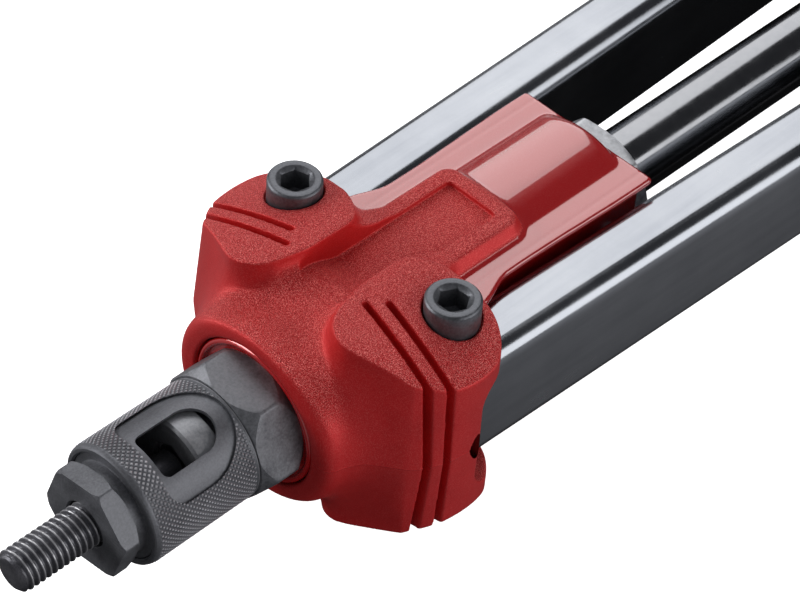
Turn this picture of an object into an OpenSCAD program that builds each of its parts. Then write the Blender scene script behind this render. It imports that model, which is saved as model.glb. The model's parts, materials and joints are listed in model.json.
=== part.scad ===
// Long-arm hand setting tool for threaded rivet nuts.
// The tool axis lies along X, with the nose towards -X and the handles towards +X.
// The origin is the centre of the nosepiece's front face. Sizes are in millimetres.

/* [Nose] */
// radius of the mandrel's M8 thread
mandrel_r = 4; // [2:0.1:4.2]
// length of mandrel that stands out of the nosepiece
mandrel_out = 15.6; // [8:0.2:18]
// width across flats of the nosepiece hexagon
nosepiece_af = 18; // [16:0.2:19]
// radius of the knurled barrel
barrel_r = 11.8; // [11.4:0.1:12.2]
// distance from the nosepiece face to the barrel's front face
barrel_x0 = 5.7; // [4.8:0.1:7]
// width across flats of the lock nut
lock_nut_af = 24; // [23.4:0.1:25]

/* [Head] */
// distance from the nosepiece face to the handle pivots
pivot_x = 64.8; // [64:0.1:66]
// distance from the tool axis to each handle pivot
pivot_y = 19.4; // [19.2:0.1:20]
// half height of the head where its crowned top meets the tool's middle plane
crown_z = 23.9; // [23:0.1:25]
// outer radius of the collar and of the saddle behind it
collar_r = 18.2; // [17.8:0.1:18.8]
// distance from the pivots to the rear end of the sleeve
sleeve_len = 56; // [54:0.5:64]

/* [Handles] */
// width of the flat-sided handle tube
tube_w = 12.3; // [11.6:0.1:12.6]
// height of the flat-sided handle tube
tube_h = 25; // [23:0.2:25.4]
// distance from the pivot to the rear end of each tube
tube_len = 292; // [240:2:340]
// angle between each handle and the tool axis when closed
splay = 2.2; // [2:0.1:4]
// how far each handle opens from the closed position
open_angle = 35; // [10:1:35]
// length of the rubber grips
grip_len = 118; // [90:2:130]

/* [Spindle] */
// radius of the polished turning rod
rod_r = 7; // [6.2:0.1:7.2]
// distance from the nosepiece face to the rod's knob
knob_x = 204; // [180:2:220]

/* [Hidden] */
$fn = 96;
eps = 0.01;
mandrel_root_r = 3.2;
bore_gap = 0.4;
run_gap = 0.05;

collar_x0 = pivot_x - 27.5;
nut_x0 = pivot_x - 36.2;
nut_x1 = pivot_x - 26.5;
nut_face_r = 12.1;
nut_chamfer = 2.8;
nut_angle = 7.7;
nosepiece_angle = 49.4;

// the push ram slides in the collar and carries the barrel
ram_r = 14.4;
ram_bore_r = ram_r + 0.3;
ram_thread_r = 9;
ram_round_end = pivot_x - 15;
ram_x1 = pivot_x + 6;
ram_flat_y = 11.9;
ram_flat_z = 11.4;
stroke = 6.1;
lever_arm = 10;
nose_r = 2.1;
notch_gap = 0.9;

// window in the barrel
window_angle = 106.5;
slot_w = 9.0;
slot_x0 = pivot_x - 53.3;
slot_x1 = pivot_x - 39.8;
recess_w = 18;
recess_x0 = pivot_x - 54.3;
recess_x1 = pivot_x - 36.7;
recess_floor_r = 11.1;
barrel_bore_r = 10.3;
barrel_bore_x1 = pivot_x - 37.8;
barrel_knurl_x1 = nut_x0 + 1;
barrel_x1 = pivot_x - 8;

coupler_r = barrel_bore_r - 0.5;
coupler_x0 = pivot_x - 45.8;
coupler_x1 = coupler_x0 + 5.2;
coupler_tail_r = 7;
spigot_r = 3.5;
thread_bore_r = 7.6;

// the head's crowned top and bottom follow a large radius
crown_r = 72;
crown_axis_z = crown_z - crown_r;
slot_z = 13;
slot_r = 7.3;
web_x1 = -3;
cavity_y = 12.3;
cavity_z = 12;
cavity_x1 = 13;
ledge_z = 14.7;
ledge_y = 15;
ledge_t = 1.8;
sleeve_y = 13.6;
ridge_w = 8.6;
ridge_z = 17.3;
plate_y = 8.8;
plate_z = 18.1;
plate_x1 = 28.5;
panel_y = 5.8;
panel_x1 = 25.5;
panel_depth = 0.8;
groove_w = 1.1;
groove_depth = 1.2;
groove_dir = 19.3;

// sleeve chamber for the rod's thrust collar
rod_bore_r = 8.2;
chamber_r = 10.5;
chamber_x0 = pivot_x + 31;
collar_len = 5;
washer_t = 1.5;
sleeve_x1 = pivot_x + sleeve_len;
plug_x0 = sleeve_x1 - 12;
plug_af = 24;
plug_hex = 6.2;
plug_angle = 10;

screw_r = 3;
screw_head_r = 5;
screw_head_top = 24.6;
screw_head_h = 6;
bush_r = 3.8;
counterbore_z = screw_head_top - screw_head_h;
nut_pocket_z = 16.4;
pivot_nut_af = 10;

tube_t = 1.5;
tube_corner = 3.6;
tube_offset = 0.7;
tube_front_r = 6.6;
lever_len = 62;
lever_w = tube_w - 2 * tube_t - 0.2;
lever_x0 = 8.5;
hub_r = 6;
hub_out = 5.2;
neck_half = 1.4;
nose_h = 11;
rivet_r = 2.5;
rivet_x = [22, 50];
rivet_end = tube_t + 2.4;
grip_t = 3.4;
grip_x0 = tube_len - grip_len + 6;

knob_len = 30;
knob_r = 14.5;
rod_x0 = pivot_x - 20;
rod_x1 = knob_x + knob_len - 4;

// ---- helpers: turned and hexagonal shapes along X ----

module rod_x(r, x0, x1) {
    translate([x0, 0, 0])
        rotate([0, 90, 0])
            cylinder(r = r, h = x1 - x0);
}

module cone_x(r0, r1, x0, x1) {
    translate([x0, 0, 0])
        rotate([0, 90, 0])
            cylinder(r1 = r0, r2 = r1, h = x1 - x0);
}

module tube_x(r_out, r_in, x0, x1) {
    difference() {
        rod_x(r_out, x0, x1);
        rod_x(r_in, x0 - 1, x1 + 1);
    }
}

// angle is that of one corner, measured from +Y towards +Z
module hex_x(af, x0, x1, angle) {
    translate([x0, 0, 0])
        rotate([angle + 90, 0, 0])
            rotate([0, 90, 0])
                cylinder(r = af / 2 / cos(30), h = x1 - x0, $fn = 6);
}

// hexagon along X with a cone-shaped chamfer at each end: radius r0 at x0 and r1 at x1,
// meeting the corners l0 and l1 further in
module chamfered_hex(af, x0, x1, angle, r0, l0, r1, l1) {
    corner = af / 2 / cos(30);
    big = corner + 0.6;
    intersection() {
        hex_x(af, x0 - 1, x1 + 1, angle);
        rotate([0, 90, 0])
            rotate_extrude()
                polygon([
                    [0, x0], [r0, x0],
                    [big, x0 + l0 * (big - r0) / (corner - r0)],
                    [big, x1 - l1 * (big - r1) / (corner - r1)],
                    [r1, x1], [0, x1]
                ]);
    }
}

module rod_z(r, z0, z1) {
    translate([0, 0, z0])
        cylinder(r = r, h = z1 - z0);
}

module box(x0, x1, y0, y1, z0, z1) {
    translate([x0, y0, z0])
        cube([x1 - x0, y1 - y0, z1 - z0]);
}

module rounded_square(w, h, r) {
    union() {
        square([w - 2 * r, h], center = true);
        square([w, h - 2 * r], center = true);
        for (sx = [-1, 1])
            for (sy = [-1, 1])
                translate([sx * (w / 2 - r), sy * (h / 2 - r)])
                    circle(r = r);
    }
}

// everything inside is drawn in the frame of one pivot; side is 1 for left, -1 for right
module at_pivot(side) {
    translate([pivot_x, side * pivot_y, 0])
        children();
}

module mirrored(side) {
    if (side > 0)
        children();
    else
        mirror([0, 1, 0])
            children();
}

// ---- head ----

// outline of one lobe's top pad, seen from above, from the pivot plane and the tool axis
module lobe_outline(grow) {
    translate([-4.8, 18.3])
        circle(r = 12 + grow);
    translate([-16.8, 12.9])
        circle(r = 3.1 + grow);
    translate([-10.8, 24.8])
        circle(r = 4.4 + grow);
    polygon([
        [-19.7 - grow, 14], [-15.1 - grow, 25.6], [-8.5, 29.6 + grow], [-4.8, 18.3],
        [-7.5, 6.6 - grow], [-17.2, 9.8 - grow]
    ]);
}

module crown(top_z) {
    intersection() {
        translate([0, 0, top_z - crown_r])
            rod_x(crown_r, -40, 70);
        translate([0, 0, crown_r - top_z])
            rod_x(crown_r, -40, 70);
    }
}

module lobe() {
    intersection() {
        linear_extrude(height = 2 * crown_z, center = true)
            lobe_outline(0.6);
        crown(crown_z);
    }
}

module lobe_grooves() {
    difference() {
        for (start = [[-11, 9.8], [-7.8, 12.1]])
            translate([start[0], start[1], 0])
                rotate([0, 0, groove_dir]) {
                    box(-groove_w / 2, groove_w / 2, 0, 40, -30, 30);
                    rod_z(groove_w / 2, -30, 30);
                }
        intersection() {
            linear_extrude(height = 60, center = true)
                lobe_outline(-0.8);
            crown(crown_z - groove_depth);
        }
        box(-6, 60, -1, 60, -30, 30);
    }
}

module saddle_and_collar() {
    rod_x(collar_r, -27.5, 9);
    cone_x(collar_r, collar_r + 1.5, -25, -14);
    box(-14, plate_x1, -plate_y, plate_y, -plate_z, plate_z);
}

module sleeve() {
    box(2, sleeve_len, -sleeve_y, sleeve_y, -ledge_z + 0.4, ledge_z - 0.4);
    for (side = [-1, 1])
        translate([0, 0, side * (ledge_z - ledge_t / 2)])
            linear_extrude(height = ledge_t, center = true)
                polygon([
                    [0, -16], [11.5, -17.4], [13, -16.2], [15, -15.4], [17.5, -ledge_y],
                    [sleeve_len, -ledge_y], [sleeve_len, ledge_y], [17.5, ledge_y],
                    [15, 15.4], [13, 16.2], [11.5, 17.4], [0, 16]
                ]);
    intersection() {
        box(0, sleeve_len - 2, -ridge_w, ridge_w, -20, 20);
        union() {
            translate([0, 0, ridge_z - 14])
                rod_x(14, 0, sleeve_len - 2);
            translate([0, 0, 14 - ridge_z])
                rod_x(14, 0, sleeve_len - 2);
        }
    }
}

module handle_slot() {
    difference() {
        union() {
            translate([0, pivot_y, 0])
                rod_z(slot_r, -slot_z, slot_z);
            box(web_x1, 60, pivot_y - slot_r, 60, -slot_z, slot_z);
            box(-slot_r, 10, cavity_y - 1, pivot_y, -slot_z, slot_z);
        }
        box(10, 70, 0, sleeve_y, -20, 20);
    }
}

module head_housing() {
    color([0.62, 0.06, 0.07])
    translate([pivot_x, 0, 0])
    difference() {
        union() {
            saddle_and_collar();
            sleeve();
            for (side = [-1, 1])
                mirrored(side)
                    lobe();
        }
        // recessed name panel, left plain
        box(-8, panel_x1, -panel_y, panel_y, plate_z - panel_depth, 20);
        rod_x(ram_bore_r, -30, -8);
        box(-8 - eps, cavity_x1, -cavity_y, cavity_y, -cavity_z, cavity_z);
        rod_x(rod_bore_r, 0, sleeve_len + 1);
        rod_x(chamber_r, chamber_x0 - pivot_x, sleeve_len + 1);
        for (side = [-1, 1])
            mirrored(side) {
                handle_slot();
                lobe_grooves();
                translate([0, pivot_y, 0]) {
                    rod_z(screw_head_r + 0.3, counterbore_z, 30);
                    rod_z(screw_r + 0.2, -30, 30);
                    translate([0, 0, -30])
                        cylinder(r = pivot_nut_af / 2 / cos(30) + 0.3, h = 30 - nut_pocket_z, $fn = 6);
                }
            }
    }
}

module rear_plug() {
    color([0.72, 0.74, 0.76])
    difference() {
        union() {
            rod_x(chamber_r, plug_x0, sleeve_x1 + eps);
            chamfered_hex(plug_af, sleeve_x1, sleeve_x1 + plug_hex, plug_angle,
                plug_af / 2 + 0.6, 0.5, plug_af / 2 - 0.6, 1.6);
        }
        rod_x(8.6, plug_x0 - 1, sleeve_x1 + plug_hex + 1);
    }
}

module rod_bush() {
    color([0.70, 0.55, 0.28])
        tube_x(8.6, rod_r + run_gap, plug_x0 + 0.5, sleeve_x1 + plug_hex - 0.6);
}

module thrust_washer() {
    color([0.70, 0.55, 0.28])
        tube_x(chamber_r - 0.3, rod_r + 0.3, chamber_x0, chamber_x0 + washer_t);
}

module pivot_screw(side) {
    color([0.16, 0.17, 0.18])
    at_pivot(side)
    difference() {
        union() {
            rod_z(screw_head_r, counterbore_z, screw_head_top - 0.4);
            translate([0, 0, screw_head_top - 0.4])
                cylinder(r1 = screw_head_r, r2 = screw_head_r - 0.4, h = 0.4);
            rod_z(screw_r, -22, counterbore_z + eps);
        }
        translate([0, 0, screw_head_top - 3.2])
            rotate([0, 0, 30])
                cylinder(r = 2.5 / cos(30), h = 4, $fn = 6);
    }
}

module pivot_bush(side) {
    color([0.60, 0.61, 0.62])
    at_pivot(side)
    difference() {
        rod_z(bush_r, -slot_z + eps, slot_z - eps);
        rod_z(screw_r, -slot_z - 1, slot_z + 1);
    }
}

module pivot_nut(side) {
    color([0.60, 0.61, 0.62])
    at_pivot(side)
    difference() {
        translate([0, 0, -nut_pocket_z - 5])
            cylinder(r = pivot_nut_af / 2 / cos(30), h = 5, $fn = 6);
        rod_z(screw_r, -30, 0);
    }
}

// ---- sliding ram and nose ----

module ram() {
    color([0.60, 0.06, 0.07])
    difference() {
        union() {
            rod_x(ram_r, nut_x1, ram_round_end);
            tube_x(ram_r, nut_face_r + 1.1, nut_x1 - 0.9, nut_x1 + 1);
            intersection() {
                rod_x(ram_r, ram_round_end - 1, ram_x1);
                box(ram_round_end - 1, ram_x1, -ram_flat_y, ram_flat_y, -ram_flat_z, ram_flat_z);
            }
        }
        rod_x(ram_thread_r + 0.03, nut_x1 - 2, barrel_x1 + 2);
        rod_x(rod_r + 0.6, nut_x1, ram_x1 + 1);
        for (side = [-1, 1])
            translate([pivot_x, side * (pivot_y - lever_arm), 0]) {
                rod_z(nose_r + notch_gap, -nose_h / 2 - 0.8, nose_h / 2 + 0.8);
                translate([-nose_r - notch_gap, side > 0 ? 0 : -20, -nose_h / 2 - 0.8])
                    cube([2 * (nose_r + notch_gap), 20, nose_h + 1.6]);
            }
    }
}

module barrel_stop_ring() {
    color([0.30, 0.31, 0.33])
        tube_x(ram_thread_r - 0.3, thread_bore_r + 0.1, barrel_x1 + 0.3, barrel_x1 + 1.5);
}

// plan shape of the window: straight front corners, half-round rear end
module window_outline(x0, x1, w, corner) {
    union() {
        translate([x1 - w / 2, 0])
            circle(r = w / 2);
        translate([x0 + corner, -w / 2])
            square([x1 - w / 2 - x0 - corner, w]);
        translate([x0, -w / 2 + corner])
            square([corner + 1, w - 2 * corner]);
        for (side = [-1, 1])
            translate([x0 + corner, side * (w / 2 - corner)])
                circle(r = corner);
    }
}

module nose_barrel() {
    color([0.34, 0.35, 0.37])
    difference() {
        union() {
            rod_x(barrel_r, barrel_x0 + 0.6, barrel_knurl_x1 - 1);
            cone_x(barrel_r - 0.6, barrel_r, barrel_x0, barrel_x0 + 0.6 + eps);
            rod_x(ram_thread_r, barrel_x0 + 8, barrel_x1);
        }
        rod_x(barrel_bore_r, barrel_x0 - 1, barrel_bore_x1);
        rod_x(thread_bore_r, barrel_x0, barrel_x1 + 1);
        rotate([window_angle - 90, 0, 0]) {
            linear_extrude(height = 30)
                window_outline(slot_x0, slot_x1, slot_w, 1.5);
            difference() {
                linear_extrude(height = 30)
                    window_outline(recess_x0, recess_x1, recess_w, 3);
                rod_x(recess_floor_r, recess_x0 - 1, recess_x1 + 1);
            }
        }
    }
}

module nosepiece() {
    color([0.33, 0.34, 0.36])
    difference() {
        union() {
            chamfered_hex(nosepiece_af, 0, 4, nosepiece_angle,
                nosepiece_af / 2 + 0.7, 0.5, nosepiece_af / 2 + 0.1, 1);
            rod_x(8.6, 3.9, 6.2);
            rod_x(barrel_bore_r, 6.2 - eps, 11);
        }
        rod_x(mandrel_r + bore_gap, -1, 12);
    }
}

module lock_nut() {
    color([0.30, 0.31, 0.33])
    difference() {
        chamfered_hex(lock_nut_af, nut_x0, nut_x1, nut_angle,
            nut_face_r, nut_chamfer, nut_face_r, nut_chamfer);
        rod_x(ram_thread_r + run_gap, nut_x0 - 1, nut_x1 + 1);
    }
}

// ---- turning spindle ----

module mandrel() {
    color([0.36, 0.37, 0.39])
    union() {
        cone_x(mandrel_r - 0.8, mandrel_r, -mandrel_out, -mandrel_out + 0.8);
        rod_x(mandrel_r, -mandrel_out + 0.8 - eps, 0);
        // inside the tool the shank is as thin as the thread's root
        rod_x(mandrel_root_r, -eps, coupler_x0 + 3);
        hex_x(9, coupler_x0 + 1, coupler_x0 + 12, 30);
    }
}

module coupler() {
    color([0.45, 0.46, 0.48])
    difference() {
        union() {
            cone_x(coupler_r - 0.5, coupler_r, coupler_x0, coupler_x0 + 0.5);
            rod_x(coupler_r, coupler_x0 + 0.5 - eps, coupler_x1);
            rod_x(coupler_tail_r, coupler_x1 - eps, rod_x0);
        }
        hex_x(9.1, coupler_x0 - 1, coupler_x0 + 12.1, 30);
        rod_x(3, coupler_x0 + 12, rod_x0 - 8);
        translate([rod_x0 - 4, 0, -10])
            cylinder(r = 1.5, h = 20);
        rod_x(spigot_r, rod_x0 - 8 - eps, rod_x0 + 1);
    }
}

module coupler_pin() {
    color([0.50, 0.51, 0.53])
        translate([rod_x0 - 4, 0, -6.8])
            cylinder(r = 1.5, h = 13.6);
}

module spin_rod() {
    color([0.82, 0.83, 0.85])
    difference() {
        union() {
            rod_x(rod_r, rod_x0, rod_x1);
            rod_x(spigot_r, rod_x0 - 8, rod_x0 + 1);
        }
        translate([rod_x0 - 4, 0, -10])
            cylinder(r = 1.5, h = 20);
    }
}

module thrust_collar() {
    color([0.55, 0.56, 0.58])
        tube_x(chamber_r - 0.6, rod_r, chamber_x0 + washer_t + 0.1, chamber_x0 + washer_t + collar_len);
}

module spin_knob() {
    color([0.07, 0.07, 0.08])
    difference() {
        union() {
            cone_x(knob_r - 4.5, knob_r, knob_x, knob_x + 5);
            rod_x(knob_r, knob_x + 5 - eps, knob_x + knob_len - 3);
            cone_x(knob_r, knob_r - 2.5, knob_x + knob_len - 3 - eps, knob_x + knob_len);
        }
        rod_x(rod_r, knob_x - 1, rod_x1);
        for (step = [0 : 7])
            rotate([step * 45, 0, 0])
                translate([0, knob_r + 1.2, 0])
                    rod_x(2.6, knob_x - 1, knob_x + knob_len + 1);
    }
}

// ---- handles: drawn for the left side, along +X from the pivot ----

module along_handle(side) {
    translate([pivot_x, side * pivot_y, 0])
        mirrored(side)
            rotate([0, 0, splay])
                translate([0, tube_offset, 0])
                    children();
}

module tube_section(grow, x0, x1) {
    translate([x0, 0, 0])
        rotate([0, 90, 0])
            linear_extrude(height = x1 - x0)
                rounded_square(tube_h + 2 * grow, tube_w + 2 * grow, tube_corner + grow);
}

module handle_tube(side) {
    color([0.66, 0.68, 0.71])
    along_handle(side)
    difference() {
        intersection() {
            tube_section(0, -tube_front_r, tube_len);
            union() {
                box(0, tube_len + 1, -20, 20, -20, 20);
                translate([0, -tube_offset, 0])
                    rod_z(tube_front_r, -20, 20);
            }
        }
        tube_section(-tube_t, -tube_front_r - 1, tube_len + 1);
        // opening in the inner face for the lever's hub and nose
        box(-8, 9, -10, 0, -nose_h / 2 - 0.6, nose_h / 2 + 0.6);
        translate([0, -tube_offset, 0])
            rod_z(bush_r + run_gap, -20, 20);
        for (x = rivet_x)
            translate([x, 0, 0])
                rotate([90, 0, 0])
                    cylinder(r = rivet_r, h = 30);
    }
}

module lever(side) {
    color([0.42, 0.43, 0.45])
    union() {
        along_handle(side)
        difference() {
            union() {
                tube_section(-tube_t - 0.1, lever_x0, lever_len);
                box(0, lever_x0 + 1, -lever_w / 2, lever_w / 2, -nose_h / 2, nose_h / 2);
            }
            translate([0, -tube_offset, 0])
                rod_z(bush_r + run_gap, -20, 20);
            for (x = rivet_x)
                translate([x, 0, 0])
                    rotate([90, 0, 0])
                        translate([0, 0, rivet_end - tube_w / 2])
                            cylinder(r = rivet_r, h = 30);
        }
        at_pivot(side)
            mirrored(side)
                difference() {
                    union() {
                        intersection() {
                            rod_z(hub_r, -nose_h / 2, nose_h / 2);
                            box(-hub_r, hub_r, -hub_r, hub_out, -nose_h / 2, nose_h / 2);
                        }
                        translate([0, -lever_arm, 0])
                            rod_z(nose_r, -nose_h / 2, nose_h / 2);
                        box(-neck_half, neck_half, -lever_arm, -bush_r - 1, -nose_h / 2, nose_h / 2);
                    }
                    rod_z(bush_r + run_gap, -20, 20);
                }
    }
}

// blind rivet, set from the handle's inner face into the lever; the outer face stays plain
module rivet(side, x) {
    color([0.62, 0.63, 0.65])
    along_handle(side)
        translate([x, 0, 0])
            rotate([90, 0, 0]) {
                translate([0, 0, rivet_end - tube_w / 2])
                    cylinder(r = rivet_r, h = tube_w - rivet_end + 0.3);
                translate([0, 0, tube_w / 2])
                    cylinder(r = rivet_r + 1, h = 0.6);
            }
}

module grip(side) {
    color([0.05, 0.05, 0.055])
    along_handle(side)
    difference() {
        union() {
            tube_section(grip_t, grip_x0, tube_len + 4);
            tube_section(grip_t + 1.4, grip_x0, grip_x0 + 6);
        }
        tube_section(0, grip_x0 - 1, tube_len + 1);
    }
}

module end_cap(side) {
    color([0.10, 0.10, 0.11])
    along_handle(side)
        tube_section(-tube_t, tube_len - 12, tube_len + 1);
}

head_housing();
rear_plug();
rod_bush();
thrust_washer();
pivot_screw(1);  // left_pivot_screw
pivot_screw(-1);  // right_pivot_screw
pivot_bush(1);  // left_pivot_bush
pivot_bush(-1);  // right_pivot_bush
pivot_nut(1);  // left_pivot_nut
pivot_nut(-1);  // right_pivot_nut
ram();
barrel_stop_ring();
nose_barrel();
nosepiece();
lock_nut();
mandrel();
coupler();
coupler_pin();
spin_rod();
thrust_collar();
spin_knob();
handle_tube(1);  // left_handle_tube
lever(1);  // left_lever
rivet(1, rivet_x[0]);  // left_rivet_front
rivet(1, rivet_x[1]);  // left_rivet_rear
grip(1);  // left_grip
end_cap(1);  // left_end_cap
handle_tube(-1);  // right_handle_tube
lever(-1);  // right_lever
rivet(-1, rivet_x[0]);  // right_rivet_front
rivet(-1, rivet_x[1]);  // right_rivet_rear
grip(-1);  // right_grip
end_cap(-1);  // right_end_cap
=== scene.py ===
import json
import math
import bpy
import numpy as np
from mathutils import Matrix, Vector


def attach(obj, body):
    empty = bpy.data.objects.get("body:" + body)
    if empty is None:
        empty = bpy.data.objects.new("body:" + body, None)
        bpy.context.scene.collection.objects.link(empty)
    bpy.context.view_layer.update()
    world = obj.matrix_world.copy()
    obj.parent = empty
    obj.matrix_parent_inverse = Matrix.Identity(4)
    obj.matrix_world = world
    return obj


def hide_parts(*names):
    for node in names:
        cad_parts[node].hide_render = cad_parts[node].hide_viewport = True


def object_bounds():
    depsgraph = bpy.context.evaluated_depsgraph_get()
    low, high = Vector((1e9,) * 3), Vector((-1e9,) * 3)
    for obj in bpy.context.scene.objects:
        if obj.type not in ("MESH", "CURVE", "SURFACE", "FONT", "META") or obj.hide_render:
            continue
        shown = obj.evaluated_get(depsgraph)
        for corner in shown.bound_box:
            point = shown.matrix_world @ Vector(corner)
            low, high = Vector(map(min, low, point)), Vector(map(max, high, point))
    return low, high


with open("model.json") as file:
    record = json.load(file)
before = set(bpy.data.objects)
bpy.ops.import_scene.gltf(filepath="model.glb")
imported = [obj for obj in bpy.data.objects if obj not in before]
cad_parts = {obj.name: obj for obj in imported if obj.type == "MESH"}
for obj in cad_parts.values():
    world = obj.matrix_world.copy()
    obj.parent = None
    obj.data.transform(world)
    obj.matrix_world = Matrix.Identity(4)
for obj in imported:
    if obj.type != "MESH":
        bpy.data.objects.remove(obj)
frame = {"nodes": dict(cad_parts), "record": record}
cad_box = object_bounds()
nodes = frame["nodes"]

# The looks of a long-arm hand setting tool for threaded rivet nuts. Shapes are drawn in mm from the
# point on the tool's axis between the handles' pivots: +X to the rear, +Y left, +Z up.
MM = 0.001
PIVOT_X = 64.8  # the pivots stand this far behind the row frame's origin
PIVOT_Y = 19.4  # and this far to each side of the axis
AXIS_R = 0.02  # ends of turned solids close on a tiny circle round the axis

# ---------------------------------------------------------------- meshes


def new_object(name, me):
    ob = bpy.data.objects.new(name, me)
    bpy.context.scene.collection.objects.link(ob)
    return ob


def new_mesh(name, verts, faces):
    """Object with these verts; faces are tuples, or one array where all have as many corners."""
    v = np.asarray(verts, float).copy()
    v[:, 0] += PIVOT_X
    v *= MM
    me = bpy.data.meshes.new(name)
    if isinstance(faces, np.ndarray):
        n, k = faces.shape
        me.vertices.add(len(v))
        me.vertices.foreach_set("co", v.astype(np.float32).ravel())
        me.loops.add(n * k)
        me.loops.foreach_set("vertex_index", faces.astype(np.int32).ravel())
        me.polygons.add(n)
        me.polygons.foreach_set("loop_start", np.arange(0, n * k, k, dtype=np.int32))
        me.update(calc_edges=True)
        me.validate()
    else:
        me.from_pydata([tuple(p) for p in v], [], faces)
    return new_object(name, me)


def dress(ob, body, slot, replaces=(), sharp=None):
    """Finish a mesh: its material, its body, and the CAD nodes that it takes the place of."""
    me = ob.data
    if not me.materials:
        me.materials.append(MAT[slot])
    me.polygons.foreach_set("use_smooth", np.full(len(me.polygons), True))
    if sharp is not None:
        me.set_sharp_from_angle(angle=math.radians(sharp))
    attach(ob, body)
    if replaces:
        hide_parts(*replaces)
    return ob


def piece(name, mesh, body, slot, replaces=(), sharp=None):
    """mesh is (verts, faces); edges bent by more than sharp degrees stay crisp."""
    return dress(new_mesh(name, *mesh), body, slot, replaces, sharp)


def circle(n):
    """Directions of n points round a circle."""
    return np.arange(n) * 2 * math.pi / n


def ring_solid(rings, close=True):
    """Rings of equal length, each an array of points, joined to their neighbours by quads.
    close joins the last ring to the first."""
    m, n = len(rings), len(rings[0])
    v = np.concatenate(rings)
    faces = []
    for i in range(m if close else m - 1):
        j = (i + 1) % m
        for k in range(n):
            l = (k + 1) % n
            faces.append((i * n + k, i * n + l, j * n + l, j * n + k))
    return v, np.array(faces)


def hex_angles(corner_deg):
    """Directions round a hexagon, crowded near its corners."""
    steps = np.array([0, 0.5, 1.1, 2.0, 4, 8, 14, 20, 26, 30, 34, 40, 46, 52, 56, 58, 58.9, 59.5])
    return np.radians(np.concatenate([corner_deg + 60 * k + steps for k in range(6)]))


def hex_radius(angles, corner_deg, af, soft=1.6, drop=0.12):
    """Radius of a hexagon in each direction, with slightly rounded corners."""
    rel = np.mod(angles - math.radians(corner_deg), math.pi / 3) - math.pi / 6
    edge = af / 2 / np.cos(rel)
    near = np.clip(1 - (30 - np.degrees(np.abs(rel))) / soft, 0, 1)
    return edge - drop * near ** 2


def x_ring(x, r, angles):
    """Points about the X axis; x and r are numbers, or one value for each angle."""
    x = np.broadcast_to(np.asarray(x, float), angles.shape)
    r = np.broadcast_to(np.asarray(r, float), angles.shape)
    return np.stack([x, r * np.cos(angles), r * np.sin(angles)], 1)


CHAMFER_SHARES = (0.02, 0.35, 0.7, 0.97)  # where the rings stand on a cone chamfer
BORE_BEVEL, FACE_BEVEL, EDGE_BAND = 0.25, 0.12, 0.1


def chamfered_hex(af, x0, x1, corner_deg, r0, l0, r1, l1, bore, soft=1.6, drop=0.12):
    """Rings of a hexagon nut along X, bored through, from the front of the bore round to its rear.
    The front chamfer starts at radius r0 and is l0 deep at the corners; r1 and l1 at the rear."""
    a = hex_angles(corner_deg)
    corner = af / 2 / math.cos(math.pi / 6)
    edge = hex_radius(a, corner_deg, af, soft, drop)

    def front(r):
        return x0 + np.maximum(0, r - r0) * l0 / (corner - r0)

    def rear(r):
        return x1 - np.maximum(0, r - r1) * l1 / (corner - r1)
    rings = [x_ring(x0 + BORE_BEVEL, bore, a), x_ring(x0, bore + BORE_BEVEL, a)]
    rings.append(x_ring(x0, np.minimum(r0, edge) - FACE_BEVEL, a))
    for t in CHAMFER_SHARES:
        r = np.minimum(r0, edge) + np.maximum(edge - r0, 0) * t
        rings.append(x_ring(front(r) + 0.01, r, a))
    rings.append(x_ring(front(edge) + EDGE_BAND, edge, a))
    for t in (0.25, 0.5, 0.75):
        rings.append(x_ring(front(edge) * (1 - t) + rear(edge) * t, edge, a))
    rings.append(x_ring(rear(edge) - EDGE_BAND, edge, a))
    for t in reversed(CHAMFER_SHARES):
        r = np.minimum(r1, edge) + np.maximum(edge - r1, 0) * t
        rings.append(x_ring(rear(r) - 0.01, r, a))
    rings.append(x_ring(x1, np.minimum(r1, edge) - FACE_BEVEL, a))
    rings.append(x_ring(x1, bore, a))
    return rings


# ---------------------------------------------------------------- distance fields


def smin(a, b, k):
    """Union of two fields, blended over a width of about k; smax is the intersection."""
    h = np.maximum(k - np.abs(a - b), 0) / k
    return np.minimum(a, b) - h * h * k * 0.25


def smax(a, b, k):
    return -smin(-a, -b, k)


SPLINE_STEPS = 6


def spline(points):
    """Closed centripetal Catmull-Rom curve through points."""
    p = np.array(points, float)
    n = len(p)
    out = []
    for i in range(n):
        p0, p1, p2, p3 = p[(i - 1) % n], p[i], p[(i + 1) % n], p[(i + 2) % n]
        t0 = 0.0
        t1 = t0 + max(np.linalg.norm(p1 - p0), 1e-6) ** 0.5
        t2 = t1 + max(np.linalg.norm(p2 - p1), 1e-6) ** 0.5
        t3 = t2 + max(np.linalg.norm(p3 - p2), 1e-6) ** 0.5
        for t in np.linspace(t1, t2, SPLINE_STEPS, endpoint=False):
            a1 = (t1 - t) / (t1 - t0) * p0 + (t - t0) / (t1 - t0) * p1
            a2 = (t2 - t) / (t2 - t1) * p1 + (t - t1) / (t2 - t1) * p2
            a3 = (t3 - t) / (t3 - t2) * p2 + (t - t2) / (t3 - t2) * p3
            b1 = (t2 - t) / (t2 - t0) * a1 + (t - t0) / (t2 - t0) * a2
            b2 = (t3 - t) / (t3 - t1) * a2 + (t - t1) / (t3 - t1) * a3
            out.append((t2 - t) / (t2 - t1) * b1 + (t - t1) / (t2 - t1) * b2)
    return np.array(out)


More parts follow.
